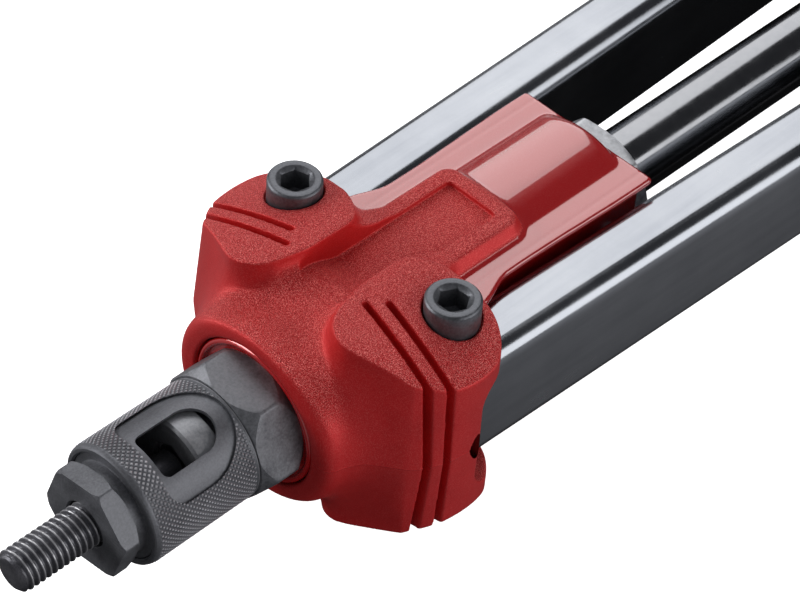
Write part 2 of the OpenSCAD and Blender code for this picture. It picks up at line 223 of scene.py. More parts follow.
def polygon_distance(px, py, poly):
    """Signed distance from points (px, py) to a closed polygon, negative inside."""
    d = np.full(px.shape, 1e9)
    inside = np.zeros(px.shape, bool)
    n = len(poly)
    for i in range(n):
        ax, ay = poly[i]
        bx, by = poly[(i + 1) % n]
        ex, ey = bx - ax, by - ay
        wx, wy = px - ax, py - ay
        t = np.clip((wx * ex + wy * ey) / (ex * ex + ey * ey + 1e-12), 0, 1)
        d = np.minimum(d, (wx - ex * t) ** 2 + (wy - ey * t) ** 2)
        if by != ay:
            crosses = ((ay > py) != (by > py)) & (px < ex * (py - ay) / (by - ay) + ax)
            inside ^= crosses
    d = np.sqrt(d)
    return np.where(inside, -d, d).astype(np.float32)


MOVES, EVEN_MOVES = 4, 2  # times that a net's points move to the surface; the first ones even it


def trilinear(G, p):
    """G between its grid points, at points p in grid steps."""
    q = np.clip(p, 0, np.array(G.shape) - 1.001)
    i = q.astype(int)
    f = q - i
    r = 0
    for a in (0, 1):
        for b in (0, 1):
            for e in (0, 1):
                wa, wb, we = (f[:, m] if up else 1 - f[:, m] for m, up in enumerate((a, b, e)))
                r = r + wa * wb * we * G[i[:, 0] + a, i[:, 1] + b, i[:, 2] + e]
    return r


def surface_net(F, origin, h):
    """Quads on F = 0, where F is sampled on a grid with spacing h from origin: (verts, faces)."""
    inside = F < 0
    total = np.zeros([n - 1 for n in F.shape], np.int8)
    for i in (0, 1):
        for j in (0, 1):
            for k in (0, 1):
                total += inside[i:inside.shape[0] - 1 + i, j:inside.shape[1] - 1 + j,
                                k:inside.shape[2] - 1 + k].astype(np.int8)
    active = (total > 0) & (total < 8)
    index = np.full(active.shape, -1, np.int64)
    cells = np.argwhere(active)
    index[active] = np.arange(len(cells))
    corner = {}
    for i in (0, 1):
        for j in (0, 1):
            for k in (0, 1):
                corner[i, j, k] = F[cells[:, 0] + i, cells[:, 1] + j, cells[:, 2] + k]
    # a point in each cell that the surface passes, at the mean of its edges' crossings
    acc = np.zeros((len(cells), 3))
    count = np.zeros(len(cells))
    for axis in range(3):
        for a in (0, 1):
            for b in (0, 1):
                lo = [0, 0, 0]
                others = [q for q in range(3) if q != axis]
                lo[others[0]], lo[others[1]] = a, b
                hi = list(lo)
                hi[axis] = 1
                f0, f1 = corner[tuple(lo)], corner[tuple(hi)]
                cross = (f0 < 0) != (f1 < 0)
                t = np.where(cross, f0 / np.where(cross, f0 - f1, 1), 0)
                pt = np.tile(np.array(lo, float), (len(cells), 1))
                pt[:, axis] += t
                acc[cross] += pt[cross]
                count[cross] += 1
    verts = cells + acc / count[:, None]
    # a quad round each grid edge that the surface crosses
    faces = []
    for axis in range(3):
        s0 = [slice(None)] * 3
        s1 = [slice(None)] * 3
        s0[axis] = slice(0, -1)
        s1[axis] = slice(1, None)
        a, b = inside[tuple(s0)], inside[tuple(s1)]
        for flip in (False, True):
            hit = np.argwhere((a & ~b) if not flip else (~a & b))
            u, w = (axis + 1) % 3, (axis + 2) % 3
            ok = (hit[:, u] > 0) & (hit[:, u] < F.shape[u] - 1)
            ok &= (hit[:, w] > 0) & (hit[:, w] < F.shape[w] - 1)
            hit = hit[ok]
            quad = []
            for du, dw in ((-1, -1), (0, -1), (0, 0), (-1, 0)):
                q = hit.copy()
                q[:, u] += du
                q[:, w] += dw
                quad.append(index[q[:, 0], q[:, 1], q[:, 2]])
            quad = np.stack(quad, 1)
            if flip:
                quad = quad[:, ::-1]
            faces.append(quad)
    faces = np.concatenate(faces)
    start = verts.copy()
    for step in range(MOVES):
        # a little evening out along the surface keeps the quads regular
        if step < EVEN_MOVES:
            near = np.zeros_like(verts)
            neighbours = np.zeros(len(verts))
            for a in range(4):
                b = (a + 1) % 4
                np.add.at(near, faces[:, a], verts[faces[:, b]])
                np.add.at(near, faces[:, b], verts[faces[:, a]])
                np.add.at(neighbours, faces[:, a], 1)
                np.add.at(neighbours, faces[:, b], 1)
            mean = near / np.maximum(neighbours, 1)[:, None]
            verts = verts + 0.5 * (mean - verts)
        # then each point moves down the field's slope, at most half a step of the grid
        g = np.stack([trilinear(F, verts + half) - trilinear(F, verts - half)
                      for half in np.eye(3) * 0.5], 1)
        val = trilinear(F, verts)
        gg = (g * g).sum(1)
        move = -(val / np.maximum(gg, (0.3 * h) ** 2))[:, None] * g
        length = np.linalg.norm(move, axis=1)
        move *= (np.minimum(length, 0.5) / np.maximum(length, 1e-9))[:, None]
        verts = verts + move
        verts = start + np.clip(verts - start, -1.0, 1.0)
    return verts * h + np.array(origin), faces


def smooth_ramp(x, a, b):
    """0 up to a, 1 from b, smooth between."""
    t = np.clip((x - a) / (b - a), 0, 1)
    return t * t * (3 - 2 * t)


# ---------------------------------------------------------------- head

# a lobe's outline round the left pivot, at its top edge and in the tool's middle plane
TOP = [(-15.8, 7.9), (-12.1, 6.9), (-9, 6.3), (-4, 6.2), (1.0, 6.3), (3.0, 7.6), (4.2, 9.3),
       (5, 10.8), (6.1, 14.0), (6.7, 17.2), (6.6, 20.4), (6.2, 23.3), (4.8, 26.4), (2.6, 28.9),
       (0.7, 30.2), (-2, 30.8), (-5, 30.9), (-9.4, 30.1), (-11.6, 28.9), (-14.9, 26.5),
       (-15.45, 26.1), (-15.8, 25.4), (-17.55, 20.9), (-19.9, 15.1), (-20.1, 13.4), (-19.6, 11.2),
       (-18.3, 9.4)]
MID = [(-17.0, 8.5), (-13.0, 6.9), (-9, 6.3), (-4, 6.2), (1.0, 6.3), (3.0, 7.6), (4.2, 9.3),
       (5, 10.8), (6.1, 14.0), (6.7, 17.2), (6.6, 20.4), (6.2, 23.3), (4.8, 26.4), (2.6, 28.9),
       (0.7, 30.4), (-2, 31.3), (-5, 31.4), (-10, 30.7), (-13.6, 29.4), (-15.9, 27.8),
       (-17.3, 26.4), (-19.0, 23.6), (-20.3, 20.4), (-21.4, 16.0), (-21.5, 14.0), (-20.9, 11.8),
       (-19.3, 10.1)]
LOBE_Z = 19.4  # height of the top edge
CROWN_R, CROWN_Z = 72.0, -48.07  # round that crowns the lobes across the tool, and its centre
COLLAR_Y, COLLAR_Z, COLLAR_MEAN = 19.4, 18.05, 18.6  # half-axes of the oval collar
COLLAR_X0, COLLAR_X1 = -27.55, 9.0
SADDLE_X0, SADDLE_X1, SADDLE_Y, SADDLE_Z = -15.0, 12.0, 9.1, 18.1
PLATE_X0, PLATE_X1, PLATE_Y, PLATE_Z, PLATE_CORNER = -10.0, 28.35, 8.9, 18.15, 2.6
PLATE_DRAFT = 0.496  # the plate's sides lean out by this much for each mm down
PANEL_X0, PANEL_X1, PANEL_Y, PANEL_CORNER, PANEL_DEPTH = -12.0, 25.3, 5.85, 1.1, 1.1
SLEEVE_X0, SLEEVE_X1, SLEEVE_Y, SLEEVE_Z = 2.0, 56.7, 13.6, 14.0
LEDGE_Y, LEDGE_Z, LEDGE_HALF = 15.0, 13.26, 1.36
RIDGE_R, RIDGE_Y = 17.35, 9.5
LINE_Y, LINE_Z, LINE_R = 13.3, 14.75, 0.22
GROOVES = [(-11.1, 9.8), (-7.8, 12.1)]  # inner ends of the grooves on a pad
GROOVE_LEAN, GROOVE_R, GROOVE_DEPTH = math.radians(8.0), 0.66, 2.5
RAM_BORE_R, RAM_BORE_X = 14.65, -7.0
RAM_HALF_Y, RAM_HALF_Z, RAM_SPACE_X0, RAM_SPACE_X1 = 12.3, 12.0, -8.2, 13.0
AXIS_BORE_R, REAR_BORE_R, REAR_BORE_X = 8.2, 10.5, 31.0
CHEEK_Z, CHEEK_CORNER = 13.0, 5.0  # half the gap between a lobe's cheeks, and its rounded foot
GAP_X = -3.0  # where the gap's round foot starts
SEAT_R = 7.3  # the pivots' bushes and the levers turn inside this radius
LEVER_X1, LEVER_Y = 10.0, 11.3  # inner space for the levers
SCREW_HEAD_R, SCREW_SEAT_Z, SCREW_R = 5.3, 18.6, 3.2
PIVOT_NUT_HALF, PIVOT_NUT_Z = 5.3, -16.4


def rounded_box_2d(px, py, x0, x1, y1, r):
    """Distance to the box x0..x1, |y| < y1, with corner radius r."""
    cx, hx = (x0 + x1) / 2, (x1 - x0) / 2
    qx, qy = np.abs(px - cx) - hx + r, np.abs(py) - y1 + r
    return np.hypot(np.maximum(qx, 0), np.maximum(qy, 0)) + np.minimum(np.maximum(qx, qy), 0) - r


def head_field(h):
    """Distance to the red casting on a grid with spacing h, and the grid's first point."""
    xs = np.arange(-29.2, 58.2, h)
    ys = np.arange(0, 31.6, h)
    zs = np.arange(-25.0, 25.0 + h / 2, h)
    X, Y = np.meshgrid(xs, ys, indexing="ij")
    top = polygon_distance(X, Y, spline(TOP))
    middle = polygon_distance(X, Y, spline(MID))
    x = xs.astype(np.float32)[:, None, None]
    y = ys.astype(np.float32)[None, :, None]
    z = zs.astype(np.float32)[None, None, :]
    a = np.abs(z)
    x, y, a, z = np.broadcast_arrays(x, y, a, z)
    # lobes: the outline grows towards the middle plane, under a crowned top
    t = np.clip(1 - a / LOBE_Z, 0, 1)
    outline = top[:, :, None] * (1 - t) + middle[:, :, None] * t
    crown = np.hypot(y, a - CROWN_Z) - CROWN_R
    lobe = smax(outline, crown, 0.8 - 0.2 * smooth_ramp(-x, 10, 15))
    # collar, and the saddle that widens it a little towards the pads
    collar = (np.hypot(y / COLLAR_Y, z / COLLAR_Z) - 1) * COLLAR_MEAN
    collar = smax(smax(collar, COLLAR_X0 - x, 2.6), x - COLLAR_X1, 3.0)
    saddle = smax(smax(np.abs(y) - SADDLE_Y, a - SADDLE_Z, 1.5),
                  smax(SADDLE_X0 - x, x - SADDLE_X1, 4.0), 4.0)
    body = smax(smin(smin(collar, saddle, 5.0), lobe, 6.5), crown, 0.3)
    # raised plate, running out on the saddle
    plate = rounded_box_2d(x, y, PLATE_X0, PLATE_X1, PLATE_Y, PLATE_CORNER)
    plate = smax(plate - np.maximum(18.1 - a, 0) * PLATE_DRAFT, a - PLATE_Z, 0.9)
    body = smin(body, smax(plate, 11 - a, 0.5), 1.0 + 2.0 * smooth_ramp(-x, 1.0, 9.0))
    # sleeve: walls, ledges with a flare at the lobes, and a low ridge
    flare = (LEDGE_Y + 2.6 * (1 - smooth_ramp(x, 10.0, 19.5))
             + 0.9 * smooth_ramp(x, 22.0, 54.0))
    start, end = SLEEVE_X0 - x, x - SLEEVE_X1
    wall = smax(smax(y - SLEEVE_Y, a - SLEEVE_Z, 0.5), smax(start, end + 0.5, 1.0), 0.5)
    ledge = smax(smax(y - flare, np.abs(a - LEDGE_Z) - LEDGE_HALF, 0.6),
                 smax(start, end, 1.6), 1.0)
    ridge = smax(smax(np.hypot(y, a) - RIDGE_R, y - RIDGE_Y, 0.5),
                 smax(start, end + 0.6, 1.5), 3.5)
    body = smin(body, smin(smin(wall, ledge, 0.5), ridge, 0.5), 1.2)
    # thin cast line along each ledge
    line = np.hypot(y - LINE_Y, a - LINE_Z) - LINE_R
    body = smax(body, -smax(line, 12 - x, 0.5), 0.3)
    # panel: a shallow recess inside the plate, fading out on the saddle
    depth = PANEL_DEPTH - 2.6 * smooth_ramp(-x, 1.5, 10.0)
    panel = rounded_box_2d(x, y, PANEL_X0, PANEL_X1, PANEL_Y, PANEL_CORNER)
    body = smax(body, -smax(panel, 18.1 - depth - a, 0.2), 0.2)
    # grooves across the pads and down the outer walls
    skin = np.maximum(outline, crown) + GROOVE_DEPTH
    ux, uy = -math.sin(GROOVE_LEAN), math.cos(GROOVE_LEAN)
    for gx, gy in GROOVES:
        along = np.maximum((x - gx) * ux + (y - gy) * uy, 0)
        across = np.hypot(x - gx - ux * along, y - gy - uy * along)
        body = smax(body, -smax(across - GROOVE_R, -skin, 0.3), 0.2)
    # inside: the ram's bore and its flat-sided space, and the bores for barrel, rod and rear plug
    r = np.hypot(y, z)
    body = smax(body, -smax(r - RAM_BORE_R, x - RAM_BORE_X, 0.5), 0.5)
    space = smax(smax(y - RAM_HALF_Y, a - RAM_HALF_Z, 0.6),
                 np.maximum(RAM_SPACE_X0 - x, x - RAM_SPACE_X1), 0.6)
    body = smax(body, -space, 0.4)
    body = np.maximum(body, -np.maximum(r - AXIS_BORE_R, -x))
    body = smax(body, -np.maximum(r - REAR_BORE_R, REAR_BORE_X - x), 0.4)
    # slots that take the handles, but for the sleeve's own wall behind the lobes
    from_pivot = np.hypot(x, y - PIVOT_Y)
    seat = smax(from_pivot - SEAT_R, a - CHEEK_Z, 0.6)
    qx, qz = GAP_X + CHEEK_CORNER - x, a - CHEEK_Z + CHEEK_CORNER
    gap = np.hypot(np.maximum(qx, 0), np.maximum(qz, 0)) - CHEEK_CORNER
    gap = np.maximum(gap + np.minimum(np.maximum(qx, qz), 0), PIVOT_Y - SEAT_R - y)
    pocket = np.maximum(np.maximum(-SEAT_R - x, x - LEVER_X1),
                        np.maximum(LEVER_Y - y, y - PIVOT_Y))
    pocket = np.maximum(pocket, a - CHEEK_Z)
    slot = smin(smin(seat, gap, 0.2), pocket, 0.2)
    slot = np.maximum(slot, -smax(10 - x, y - SLEEVE_Y, 0.4))
    body = smax(body, -slot, 0.7)
    # pivot screw's counterbore, its shank, and the nut's pocket below
    body = smax(body, -np.maximum(from_pivot - SCREW_HEAD_R, SCREW_SEAT_Z - z), 0.35)
    body = np.maximum(body, -(from_pivot - SCREW_R))
    cos30, sin30, ny = math.cos(math.pi / 6), 0.5, np.abs(y - PIVOT_Y)
    nut = np.maximum(ny, np.abs(x) * cos30 + ny * sin30) - PIVOT_NUT_HALF
    body = smax(body, -np.maximum(nut, z - PIVOT_NUT_Z), 0.3)
    # mirror to the other side
    full = np.concatenate([body[:, :0:-1, :], body], 1)
    return full, (xs[0], -ys[-1], zs[0])


# ---------------------------------------------------------------- materials


class Maker:
    """A node material on Principled, in object coordinates."""

    def __init__(self, name):
        self.mat = bpy.data.materials.new(name)
        self.mat.use_nodes = True
        self.nt = self.mat.node_tree
        self.bsdf = self.nt.nodes["Principled BSDF"]
        self.coord = self.nt.nodes.new("ShaderNodeTexCoord")
        self.normal = None

    def set(self, **values):
        for key, value in values.items():
            self.bsdf.inputs[key.replace("_", " ")].default_value = value
        return self

    def node(self, kind, **values):
        n = self.nt.nodes.new(kind)
        for key, value in values.items():
            if key in n.inputs.keys():
                n.inputs[key].default_value = value
            elif key.replace("_", " ") in n.inputs.keys():
                n.inputs[key.replace("_", " ")].default_value = value
            else:
                setattr(n, key, value)
        return n

    def link(self, a, b):
        self.nt.links.new(a, b)

    def mapped(self, scale):
        m = self.node("ShaderNodeMapping")
        m.inputs["Scale"].default_value = scale
        self.link(self.coord.outputs["Object"], m.inputs["Vector"])
        return m.outputs["Vector"]

    def noise(self, scale, detail=3.0, rough=0.5, stretch=(1, 1, 1)):
        n = self.node("ShaderNodeTexNoise", Scale=scale, Detail=detail, Roughness=rough)
        self.link(self.mapped(stretch), n.inputs["Vector"])
        return n.outputs["Fac"]

    def ramp(self, source, stops):
        r = self.node("ShaderNodeValToRGB")
        el = r.color_ramp.elements
        while len(el) < len(stops):
            el.new(0.5)
        for e, (pos, col) in zip(el, stops):
            e.position = pos
            e.color = (*col, 1)
        self.link(source, r.inputs["Fac"])
        return r.outputs["Color"]

    def range(self, source, a, b, c, d):
        """source from a..b, mapped to c..d and held within it."""
        m = self.node("ShaderNodeMapRange")
        for key, value in zip(("From Min", "From Max", "To Min", "To Max"), (a, b, c, d)):
            m.inputs[key].default_value = value
        self.link(source, m.inputs["Value"])
        return m.outputs["Result"]

    def math(self, op, a, b):
        m = self.node("ShaderNodeMath", operation=op)
        for i, s in enumerate((a, b)):
            if isinstance(s, (int, float)):
                m.inputs[i].default_value = s
            else:
                self.link(s, m.inputs[i])
        return m.outputs[0]

    def mix(self, fac, a, b):
        m = self.node("ShaderNodeMix", data_type="RGBA")
        for i, s in zip((0, 6, 7), (fac, a, b)):
            if isinstance(s, tuple):
                m.inputs[i].default_value = (*s, 1)
            elif isinstance(s, (int, float)):
                m.inputs[i].default_value = s
            else:
                self.link(s, m.inputs[i])
        return m.outputs[2]

    def bump(self, height, strength, distance):
        b = self.node("ShaderNodeBump")
        b.inputs["Distance"].default_value = distance
        if isinstance(strength, (int, float)):
            b.inputs["Strength"].default_value = strength
        else:
            self.link(strength, b.inputs["Strength"])
        self.link(height, b.inputs["Height"])
        if self.normal is not None:
            self.link(self.normal, b.inputs["Normal"])
        self.normal = b.outputs["Normal"]
        self.link(self.normal, self.bsdf.inputs["Normal"])
        return self

    def to(self, socket, source):
        self.link(source, self.bsdf.inputs[socket])
        return self

    def attribute(self, name):
        return self.node("ShaderNodeAttribute", attribute_name=name).outputs["Fac"]

    def axis(self, name):
        """One of the object coordinates X, Y and Z."""
        n = self.node("ShaderNodeSeparateXYZ")
        self.link(self.coord.outputs["Object"], n.inputs[0])
        return n.outputs[name]


def red_paint(name, textured):
    """Red enamel. Textured, it follows the mesh's own gloss and grain values: grainy on the faces
    that look up or down, with painted glints and painted shade in the grain's specks, and glossy on
    the sleeve."""
    m = Maker(name)
    fine = m.noise(5600, 1.0, 0.6)
    coarse = m.noise(120, 4.0, 0.55)
    colour = m.ramp(coarse, [(0.3, (0.57, 0.007, 0.009)), (0.7, (0.68, 0.011, 0.013))])
    if textured:
        gloss = m.attribute("gloss")
        grain = m.attribute("grain")
        # the grain's specks: the darkest tone is painted shade in its pits, the pink-white tone is
        # painted glints
        speck_glint_shade = m.ramp(fine, [(0.34, (0.34, 0.005, 0.007)), (0.5, (0.64, 0.017, 0.019)),
                              (0.65, (1.0, 0.28, 0.25))])
        colour = m.mix(m.range(grain, 0, 1, 0.15, 0.75), colour, speck_glint_shade)
        rough = m.math("ADD", m.range(gloss, 0, 1, 0.42, 0.16),
                       m.range(fine, 0.3, 0.7, -0.05, 0.05))
        m.bump(fine, m.range(grain, 0, 1, 0.15, 1.0), 0.0003)
        # the mould's parting line, a little wavy, in the middle plane
        wave = m.range(m.noise(300, 2.0, 0.5), 0.3, 0.7, -0.00012, 0.00012)
        seam = m.math("ABSOLUTE", m.math("ADD", m.axis("Z"), wave), 0.0)
        m.bump(m.range(seam, 0.0, 0.00022, 1.0, 0.0), 0.35, 0.0002)
        m.to("Coat Weight", m.range(gloss, 0, 1, 0.0, 0.9))
        m.to("Metallic", m.range(gloss, 0, 1, 0.42, 0.12))
        colour = m.mix(m.range(gloss, 0, 1, 0.0, 0.8), colour, (0.36, 0.004, 0.005))
    else:
        rough = m.range(fine, 0.3, 0.7, 0.16, 0.24)
        m.bump(fine, 0.05, 0.0001)
        m.set(Coat_Weight=0.8, Metallic=0.3)
    m.to("Base Color", colour).to("Roughness", rough)
    m.set(Coat_IOR=2.0, Coat_Roughness=0.05, Specular_IOR_Level=0.65)
    return m.mat


def metal(name, dark, light, rough, grain=1800.0, blotch=90.0, bump=0.15, metallic=1.0,
          stretch=(1, 1, 1), mottled=0.5, crest=None):
    """Bare or treated metal: blotchy colour, fine grain, uneven roughness. crest = (r0, r1, colour)
    is a lighter polish where the distance from the tool's axis goes from r0 to r1, in metres."""
    m = Maker(name)
    fine = m.noise(grain, 3.0, 0.6, stretch)
    wide = m.noise(blotch, 5.0, 0.6)
    mid = tuple((p + q) / 2 for p, q in zip(dark, light))
    a = m.ramp(wide, [(0.3, dark), (0.5, mid), (0.72, light)])
    b = m.ramp(fine, [(0.3, dark), (0.7, light)])
    colour = m.mix(mottled, a, b)
    if crest:
        r0, r1, polish = crest
        radius = m.node("ShaderNodeVectorMath", operation="LENGTH")
        m.link(m.mapped((0, 1, 1)), radius.inputs[0])
        colour = m.mix(m.range(radius.outputs["Value"], r0, r1, 0.0, 1.0), colour, polish)
    m.to("Base Color", colour)
    m.to("Roughness", m.math("ADD", m.range(wide, 0.3, 0.7, *rough),
                             m.range(fine, 0.3, 0.7, -0.03, 0.03)))
    m.bump(fine, bump, 0.00012)
    m.set(Metallic=metallic)
    return m.mat


MAT = {
    "red_paint": red_paint("red_paint_grained", True),
    "red_paint_smooth": red_paint("red_paint_plain", False),
}
for name, dark, light, rough, more in (
    ("zinc_plate", (0.30, 0.31, 0.33), (0.72, 0.73, 0.76), (0.32, 0.5),
     dict(grain=900, blotch=420, metallic=0.85)),
    ("bearing_bronze", (0.35, 0.21, 0.08), (0.50, 0.33, 0.14), (0.3, 0.45), {}),
    ("black_oxide", (0.09, 0.094, 0.105), (0.20, 0.205, 0.225), (0.38, 0.52),
     dict(grain=2200, blotch=420, bump=0.3, metallic=0.75)),
    ("bare_steel", (0.20, 0.205, 0.21), (0.30, 0.305, 0.31), (0.25, 0.4), {}),
    ("knurled_steel", (0.105, 0.107, 0.12), (0.22, 0.225, 0.245), (0.40, 0.55),
     dict(grain=2600, blotch=160, bump=0.3, metallic=0.6,
          crest=(0.01162, 0.01174, (0.50, 0.50, 0.53)))),
    ("phosphated_steel", (0.10, 0.102, 0.115), (0.25, 0.255, 0.275), (0.40, 0.55),
     dict(grain=2400, blotch=200, bump=0.25, metallic=0.6)),
    ("mottled_steel", (0.10, 0.102, 0.115), (0.28, 0.285, 0.305), (0.40, 0.55),
     dict(grain=2000, blotch=420, bump=0.25, metallic=0.65)),
    ("dark_steel", (0.09, 0.09, 0.105), (0.22, 0.22, 0.24), (0.30, 0.48),
     dict(grain=2600, blotch=300, bump=0.2, metallic=0.7,
          crest=(0.00382, 0.00398, (0.50, 0.50, 0.52)))),
    ("machined_steel", (0.22, 0.225, 0.24), (0.42, 0.425, 0.45), (0.35, 0.5),
     dict(blotch=420, bump=0.3, metallic=0.6)),
    ("polished_chrome", (0.26, 0.265, 0.28), (0.31, 0.315, 0.33), (0.12, 0.2),
     dict(grain=500, blotch=60, bump=0.02)),
    ("bright_plate", (0.30, 0.315, 0.345), (0.42, 0.435, 0.465), (0.17, 0.27),
     dict(grain=420, blotch=50, bump=0.05, stretch=(0.05, 1, 1), mottled=0.35)),
    ("forged_steel", (0.12, 0.125, 0.13), (0.22, 0.225, 0.23), (0.35, 0.55), {}),
):
    MAT[name] = metal(name, dark, light, rough, **more)


def rubber(name, colour, grain, rough, bump):
    m = Maker(name)
    fine = m.noise(grain, 3.0, 0.6)
    wide = m.noise(40, 3.0, 0.5)
    stops = [(0.3, tuple(c * 0.7 for c in colour)), (0.7, colour)]
    m.to("Base Color", m.mix(0.5, m.ramp(wide, stops), m.ramp(fine, stops)))
    m.to("Roughness", m.range(fine, 0.3, 0.7, rough - 0.06, rough + 0.08))
    m.bump(fine, bump, 0.0002)
    return m.mat


MAT["grip_rubber"] = rubber("grip_rubber", (0.022, 0.022, 0.024), 1500, 0.62, 0.4)
MAT["black_plastic"] = rubber("black_plastic", (0.018, 0.018, 0.02), 2200, 0.38, 0.15)

SLOT_OF = {p["node"]: p["material_slot"] for p in frame["record"]["subparts"]}
for name, ob in nodes.items():
    ob.data.materials.clear()
    ob.data.materials.append(MAT[SLOT_OF.get(name, "bare_steel")])

# ---------------------------------------------------------------- the red casting


def point_values(ob, name, values):
    """Store one number for each point of a mesh, for its material to read."""
    layer = ob.data.attributes.new(name, "FLOAT", "POINT")
    layer.data.foreach_set("value", values.astype(np.float32))


def head_piece():
    h = 0.32
    field, origin = head_field(h)
    verts, faces = surface_net(field, origin, h)
    head = piece("head_casting", (verts, faces), "head", "red_paint", ("head_housing",))
    x, y, z = verts[:, 0], np.abs(verts[:, 1]), np.abs(verts[:, 2])
    # glossy: the sleeve behind the lobes, but not the raised plate on it
    gloss = smooth_ramp(x, 6.5, 8.0) * (1 - (z > 15.5) * (1 - smooth_ramp(x, 28.6, 29.6)))
    gloss = np.where((z > 15.2) & (y < 11.0) & (x < 28.7), 0.0, gloss)
    point_values(head, "gloss", gloss)
    normals = np.empty(len(verts) * 3, np.float32)
    head.data.vertex_normals.foreach_get("vector", normals)
    upward = np.abs(normals.reshape(-1, 3)[:, 2])
    point_values(head, "grain", smooth_ramp(upward, 0.35, 0.85) * (1 - gloss))


head_piece()

# ---------------------------------------------------------------- the ram

RAM_R, RAM_RING_R, RAM_NOTCH_R, RAM_NOTCH_Y = 14.4, 13.2, 3.0, 9.4


def ram_piece():
    h = 0.4
    xs = np.arange(-28.6, 7.4, h)
    ys = np.arange(-15.2, 15.2 + h, h)
    x, y, z = np.meshgrid(xs, ys, ys, indexing="ij", sparse=True)
    x, y, z = np.broadcast_arrays(*(q.astype(np.float32) for q in (x, y, z)))
    r = np.hypot(y, z)
    # round front in the collar, with a shallow ring face, and a flat-sided tail
    outer = smax(smax(r - RAM_R, -27.4 - x, 0.9), x + 15, 0.5)
    flats = smax(smax(np.abs(y) - 11.9, np.abs(z) - 11.4, 1.0), r - RAM_R, 0.5)
    tail = smax(flats, np.maximum(-16 - x, x - 6), 0.5)
    body = smin(outer, tail, 0.3)
    body = smax(body, -smax(r - RAM_RING_R, x + 26.5, 0.6), 0.5)
    # the barrel's thread, and the way through for rod and mandrel
    body = np.maximum(body, -np.maximum(r - 9.03, x + 6.0))
    body = np.maximum(body, -(r - 7.6))
    # notches that the levers' noses work in
    for side in (-1, 1):
        foot = np.hypot(x, y - side * RAM_NOTCH_Y) - RAM_NOTCH_R
        notch = np.minimum(foot, np.maximum(np.abs(x) - RAM_NOTCH_R, RAM_NOTCH_Y - side * y))
        body = smax(body, -np.maximum(notch, np.abs(z) - 6.3), 0.3)
    piece("push_ram_casting", surface_net(body, (xs[0], ys[0], ys[0]), h),
          "push_ram", "red_paint_smooth", ("ram",))


ram_piece()

# ---------------------------------------------------------------- knurled barrel with its window

WINDOW = math.radians(106.5 - 90)  # the window's lean from straight up, about the tool's axis
BARREL_X0, BARREL_X1, BARREL_R = -59.1, -36.2, 11.8
THREAD_R, THREAD_X1 = 9.0, -8.0  # the barrel's threaded rear end, in the ram
BARREL_BORE_R, FRONT_BORE_R, FRONT_BORE_X = 7.6, 10.3, -37.8
RECESS_X0, RECESS_X1, RECESS_W, RECESS_CORNER, RECESS_R = -54.3, -36.7, 18.0, 3.0, 11.1
SLOT_X0, SLOT_X1, SLOT_W, SLOT_CORNER = -53.3, -39.8, 9.0, 1.5
KNURLS = 68


def knurl(x, a):
    """Depth of the diamond knurl at distance x and angle a: two crossed helices, 0 to 1."""
    along = x / (2 * math.pi * BARREL_R / KNURLS)
    turn = a * KNURLS / (2 * math.pi)
    u, w = (along + turn) % 1.0, (along - turn) % 1.0
    groove = np.maximum(1 - np.minimum(u, 1 - u) * 2, 1 - np.minimum(w, 1 - w) * 2)
    return np.clip((groove - 0.22) / 0.78, 0, 1)


def window_points(x0, x1, w, corner):
    """Outline of a window w wide: rounded corners at the front x0, a half circle at the rear x1."""
    pts = []
    for side, lo in ((1, 90), (-1, 180)):
        for k in range(9):
            t = math.radians(lo + 90 * k / 8)
            pts.append((x0 + corner + corner * math.cos(t),
                        side * (w / 2 - corner) + corner * math.sin(t)))
    n = 24
    for k in range(2 * n + 1):
        t = math.radians(-90 + 180 * k / (2 * n))
        pts.append((x1 - w / 2 + w / 2 * math.cos(t), w / 2 * math.sin(t)))
    return pts


def prism(name, pts, z0, z1):
    """Prism of a window's outline, standing out along the window's direction from z0 to z1."""
    ca, sa = math.cos(WINDOW), math.sin(WINDOW)
    n = len(pts)
    verts = [(px, py * ca - z * sa, py * sa + z * ca) for z in (z0, z1) for px, py in pts]
    faces = [tuple(range(n))[::-1], tuple(range(n, 2 * n))]
    faces += [(i, (i + 1) % n, n + (i + 1) % n, n + i) for i in range(n)]
    return new_mesh(name, verts, faces)


def cut(target, cutter):
    """Take the cutter away from the target, and delete the cutter."""
    mod = target.modifiers.new("cut", "BOOLEAN")
    mod.operation = "DIFFERENCE"
    mod.solver = "EXACT"
    mod.object = cutter
    bpy.context.view_layer.update()
    deps = bpy.context.evaluated_depsgraph_get()
    me = bpy.data.meshes.new_from_object(target.evaluated_get(deps))
    target.modifiers.remove(mod)
    old = target.data
    target.data = me
    bpy.data.meshes.remove(old)
    bpy.data.objects.remove(cutter)


